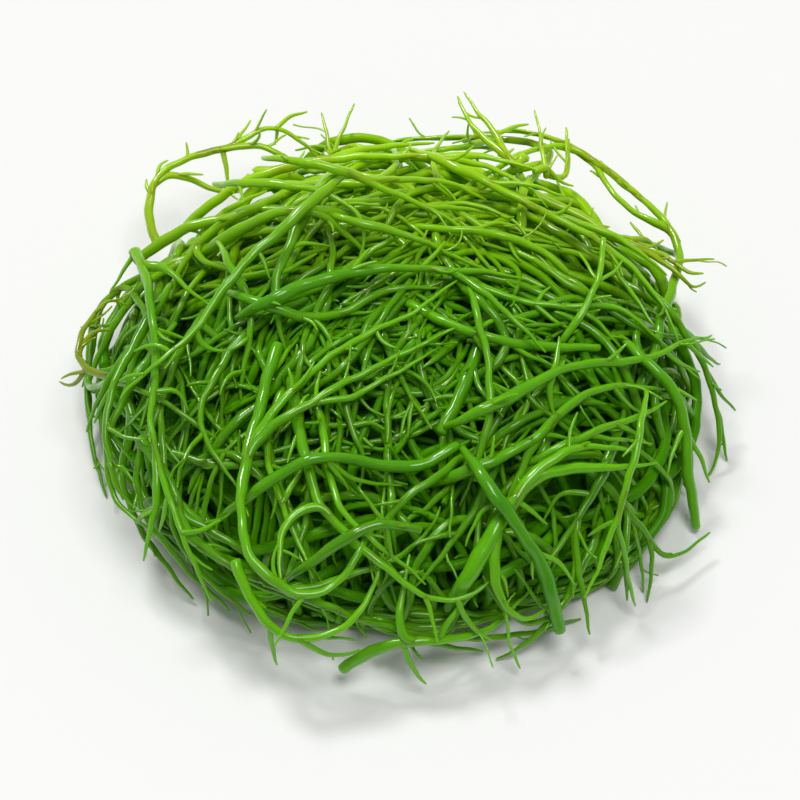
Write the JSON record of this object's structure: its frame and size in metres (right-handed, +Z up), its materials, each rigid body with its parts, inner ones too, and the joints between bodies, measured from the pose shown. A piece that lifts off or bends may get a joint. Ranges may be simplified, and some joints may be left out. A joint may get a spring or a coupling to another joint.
{
  "type": "gracilaria seaweed",
  "caption": "Serving heap of blanched string seaweed: forking, tapering green strands tangled in a low dome that rests on a flat surface.",
  "frame": {"origin": "middle of the small flat spot that the heap rests on", "axes": "+Z up from the surface it rests on, +X to the picture's right, +Y away from the viewer"},
  "size_m": [0.1192, 0.1172, 0.0415],
  "materials": {
    "seaweed_bright": "wet, smooth, slightly see-through bright green",
    "seaweed_mid": "wet, smooth, slightly see-through mid green",
    "seaweed_deep": "wet, smooth, deep green",
    "seaweed_olive": "wet, smooth, yellowish olive green"
  },
  "bodies": {
    "root": {"frond_back_left_loop": "seaweed_olive", "frond_back_pair": "seaweed_olive", "frond_back_posts": "seaweed_olive", "frond_back_tips": "seaweed_olive", "frond_centre_hang": "seaweed_bright", "frond_centre_loop": "seaweed_bright", "frond_east_comb": "seaweed_bright", "frond_east_hook": "seaweed_bright", "frond_east_middle": "seaweed_bright", "frond_east_pale": "seaweed_bright", "frond_east_reach": "seaweed_bright", "frond_east_second": "seaweed_bright", "frond_east_top": "seaweed_bright", "frond_east_upright": "seaweed_bright", "frond_far_west": "seaweed_mid", "frond_front_arc": "seaweed_bright", "frond_front_diagonal": "seaweed_bright", "frond_front_left_foot": "seaweed_mid", "frond_front_right_rim": "seaweed_mid", "frond_front_rim": "seaweed_bright", "frond_front_shade": "seaweed_mid", "frond_front_slant": "seaweed_mid", "frond_front_twin": "seaweed_bright", "frond_inner_ring": "seaweed_bright", "frond_left_loop": "seaweed_olive", "frond_low_arc": "seaweed_bright", "frond_low_stub": "seaweed_mid", "frond_middle_fork": "seaweed_mid", "frond_middle_left_curl": "seaweed_mid", "frond_middle_north": "seaweed_bright", "frond_middle_stub": "seaweed_mid", "frond_north_crest": "seaweed_bright", "frond_north_east_fall": "seaweed_bright", "frond_north_light": "seaweed_bright", "frond_north_reach": "seaweed_bright", "frond_north_slant": "seaweed_bright", "frond_north_thread": "seaweed_bright", "frond_north_west_band": "seaweed_mid", "frond_north_west_slant": "seaweed_mid", "frond_right_foot": "seaweed_mid", "frond_right_olive": "seaweed_olive", "frond_south_east_fall": "seaweed_mid", "frond_south_east_hang": "seaweed_bright", "frond_south_east_ring": "seaweed_mid", "frond_south_east_trunk": "seaweed_bright", "frond_south_stub": "seaweed_bright", "frond_under_01": "seaweed_mid", "frond_under_02": "seaweed_mid", "frond_under_03": "seaweed_mid", "frond_under_04": "seaweed_mid", "frond_under_05": "seaweed_mid", "frond_under_06": "seaweed_mid", "frond_under_07": "seaweed_mid", "frond_west_column": "seaweed_bright", "frond_west_curve": "seaweed_mid", "frond_west_diagonal": "seaweed_bright", "frond_west_drop": "seaweed_bright", "frond_west_trunk": "seaweed_bright", "frond_west_wave": "seaweed_bright", "inner_tangle": "seaweed_deep"}
  },
  "joints": []
}
